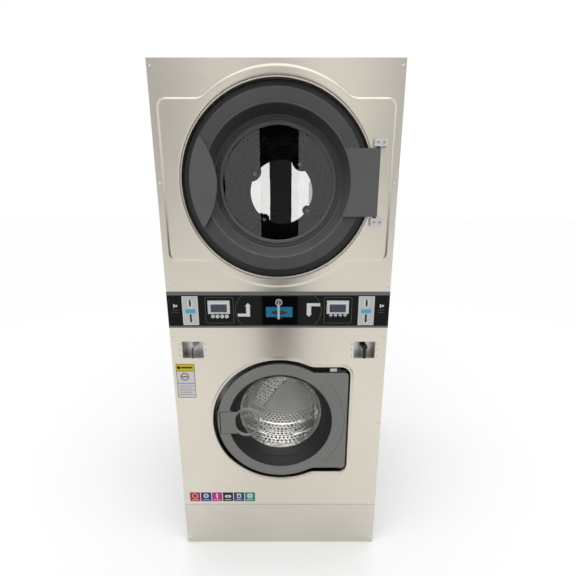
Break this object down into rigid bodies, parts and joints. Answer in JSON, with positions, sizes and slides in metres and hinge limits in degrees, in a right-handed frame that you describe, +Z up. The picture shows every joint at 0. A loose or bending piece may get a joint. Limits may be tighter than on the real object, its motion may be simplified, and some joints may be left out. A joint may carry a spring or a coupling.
{
  "type": "stacked tumble dryer and washer",
  "caption": "Coin-operated stack laundry unit: a front-loading tumble dryer with a large round glass door above a front-loading washer, in one stainless-fronted cabinet.",
  "frame": {"origin": "on the floor under the middle of the cabinet, on the bottom face of the base frame's centre rail", "axes": "+X to the machine's right seen from the front, +Y into the machine, +Z up; the front panels lie at y = -0.48 m"},
  "size_m": [0.86, 1.05, 1.996],
  "materials": {
    "stainless_front": "satin, horizontal grain",
    "cabinet_paint": "satin light grey",
    "galvanised": "matte zinc",
    "frame_paint": "satin",
    "trim_grey": "satin",
    "fascia_black": "gloss",
    "display_white": "gloss",
    "coin_steel": "brushed",
    "screw_zinc": "bright",
    "bulkhead_black": "satin black",
    "motor_blue": "satin",
    "belt_rubber": "matte",
    "hinge_steel": "satin",
    "tub_steel": "dull",
    "seal_rubber": "matte",
    "plumbing_grey": "matte",
    "valve_blue": "matte",
    "lock_housing": "matte",
    "dryer_door_grey": "fine matte grain",
    "dryer_door_dark": "satin",
    "door_glass": "clear",
    "drum_steel": "polished",
    "cast_metal": "cast",
    "fan_steel": "galvanised",
    "washer_door_grey": "fine matte grain",
    "button_white": "gloss",
    "lock_metal": "nickel plated"
  },
  "bodies": {
    "cabinet": {"base_frame": "frame_paint", "left_side_panel": "cabinet_paint", "right_side_panel": "cabinet_paint", "top_cover": "cabinet_paint", "rear_panels": "cabinet_paint", "middle_deck": "galvanised", "dryer_front_panel": "stainless_front", "washer_front_panel": "stainless_front", "plinth_panel": "stainless_front", "fascia_trims": "trim_grey", "control_fascia": "fascia_black", "display_modules": "display_white", "coin_plates": "coin_steel", "cash_box_pockets": "coin_steel", "panel_screws": "screw_zinc", "dryer_front_bulkhead": "bulkhead_black", "dryer_rear_bulkhead": "galvanised", "dryer_motor": "motor_blue", "dryer_belt": "belt_rubber", "blower_housing": "galvanised", "exhaust_duct": "galvanised", "heater_box": "galvanised", "lint_duct": "galvanised", "door_hinge_brackets": "hinge_steel", "washer_tub": "tub_steel", "door_gasket": "seal_rubber", "washer_bearing_housing": "frame_paint", "washer_motor": "motor_blue", "washer_belt": "belt_rubber", "drain_valve": "plumbing_grey", "water_valves": "valve_blue", "washer_door_lock": "lock_housing"},
    "dryer_door": {"dryer_door_ring": "dryer_door_grey", "dryer_door_inner_ring": "dryer_door_dark", "dryer_door_glass": "door_glass", "dryer_door_handle": "dryer_door_grey", "dryer_hinge_cover": "dryer_door_grey"},
    "dryer_basket": {"dryer_drum": "drum_steel", "dryer_lifters": "drum_steel", "dryer_drum_shaft": "drum_steel"},
    "dryer_rotor": {"dryer_motor_shaft": "cast_metal", "blower_wheel": "fan_steel"},
    "washer_door": {"washer_door_ring": "washer_door_grey", "washer_door_glass": "door_glass"},
    "washer_latch": {"washer_door_handle": "washer_door_grey"},
    "washer_basket": {"washer_drum": "drum_steel", "washer_drum_shaft": "cast_metal", "washer_drum_pulley": "cast_metal"},
    "washer_rotor": {"washer_motor_pulley": "cast_metal"},
    "round_key_1": {"round_button_1": "button_white"},
    "round_key_2": {"round_button_2": "button_white"},
    "round_key_3": {"round_button_3": "button_white"},
    "round_key_4": {"round_button_4": "button_white"},
    "oval_key_1": {"oval_button_1": "button_white"},
    "oval_key_2": {"oval_button_2": "button_white"},
    "oval_key_3": {"oval_button_3": "button_white"},
    "oval_key_4": {"oval_button_4": "button_white"},
    "fascia_lock_plug": {"fascia_lock": "lock_metal"},
    "left_cash_lock_plug": {"left_cash_lock": "lock_metal"},
    "right_cash_lock_plug": {"right_cash_lock": "lock_metal"}
  },
  "joints": [
    {"name": "dryer_door_swing", "type": "hinge", "parent": "cabinet", "child": "dryer_door", "pos_m": [0.35, -0.494, 1.6], "axis": [0, 0, 1], "range_deg": [0, 150]},
    {"name": "dryer_drum_spin", "type": "hinge", "parent": "cabinet", "child": "dryer_basket", "pos_m": [0, 0, 1.6], "axis": [0, 1, 0], "continuous": true},
    {"name": "dryer_motor_spin", "type": "hinge", "parent": "cabinet", "child": "dryer_rotor", "pos_m": [-0.33, 0, 1.275], "axis": [0, 1, 0], "continuous": true},
    {"name": "washer_door_swing", "type": "hinge", "parent": "cabinet", "child": "washer_door", "pos_m": [0.266, -0.471, 0.637], "axis": [0, 0, 1], "range_deg": [0, 110]},
    {"name": "washer_latch_pull", "type": "hinge", "parent": "washer_door", "child": "washer_latch", "pos_m": [-0.243, -0.478, 0.6335], "axis": [0, 0, -1], "range_deg": [0, 15], "stiffness_Nm_per_rad": 0.8, "springref_deg": -17.19},
    {"name": "washer_drum_spin", "type": "hinge", "parent": "cabinet", "child": "washer_basket", "pos_m": [0.004, 0, 0.637], "axis": [0, 1, 0], "continuous": true},
    {"name": "washer_motor_spin", "type": "hinge", "parent": "cabinet", "child": "washer_rotor", "pos_m": [0.004, 0, 0.19], "axis": [0, 1, 0], "continuous": true},
    {"name": "round_button_1_press", "type": "slide", "parent": "cabinet", "child": "round_key_1", "axis": [0, 1, 0], "range_m": [0, 0.0015], "stiffness_N_per_m": 400, "springref_m": -0.001},
    {"name": "round_button_2_press", "type": "slide", "parent": "cabinet", "child": "round_key_2", "axis": [0, 1, 0], "range_m": [0, 0.0015], "stiffness_N_per_m": 400, "springref_m": -0.001},
    {"name": "round_button_3_press", "type": "slide", "parent": "cabinet", "child": "round_key_3", "axis": [0, 1, 0], "range_m": [0, 0.0015], "stiffness_N_per_m": 400, "springref_m": -0.001},
    {"name": "round_button_4_press", "type": "slide", "parent": "cabinet", "child": "round_key_4", "axis": [0, 1, 0], "range_m": [0, 0.0015], "stiffness_N_per_m": 400, "springref_m": -0.001},
    {"name": "oval_button_1_press", "type": "slide", "parent": "cabinet", "child": "oval_key_1", "axis": [0, 1, 0], "range_m": [0, 0.0015], "stiffness_N_per_m": 400, "springref_m": -0.001},
    {"name": "oval_button_2_press", "type": "slide", "parent": "cabinet", "child": "oval_key_2", "axis": [0, 1, 0], "range_m": [0, 0.0015], "stiffness_N_per_m": 400, "springref_m": -0.001},
    {"name": "oval_button_3_press", "type": "slide", "parent": "cabinet", "child": "oval_key_3", "axis": [0, 1, 0], "range_m": [0, 0.0015], "stiffness_N_per_m": 400, "springref_m": -0.001},
    {"name": "oval_button_4_press", "type": "slide", "parent": "cabinet", "child": "oval_key_4", "axis": [0, 1, 0], "range_m": [0, 0.0015], "stiffness_N_per_m": 400, "springref_m": -0.001},
    {"name": "fascia_lock_turn", "type": "hinge", "parent": "cabinet", "child": "fascia_lock_plug", "pos_m": [0.002, 0, 1.161], "axis": [0, 1, 0], "range_deg": [0, 90]},
    {"name": "left_cash_lock_turn", "type": "hinge", "parent": "cabinet", "child": "left_cash_lock_plug", "pos_m": [-0.343, 0, 0.976], "axis": [0, 1, 0], "range_deg": [0, 90]},
    {"name": "right_cash_lock_turn", "type": "hinge", "parent": "cabinet", "child": "right_cash_lock_plug", "pos_m": [0.343, 0, 0.976], "axis": [0, 1, 0], "range_deg": [0, 90]}
  ],
  "couplings": [
    {"joint": "dryer_motor_spin", "follows": "dryer_drum_spin", "ratio": 26.429},
    {"joint": "washer_motor_spin", "follows": "washer_drum_spin", "ratio": 6.8182}
  ]
}
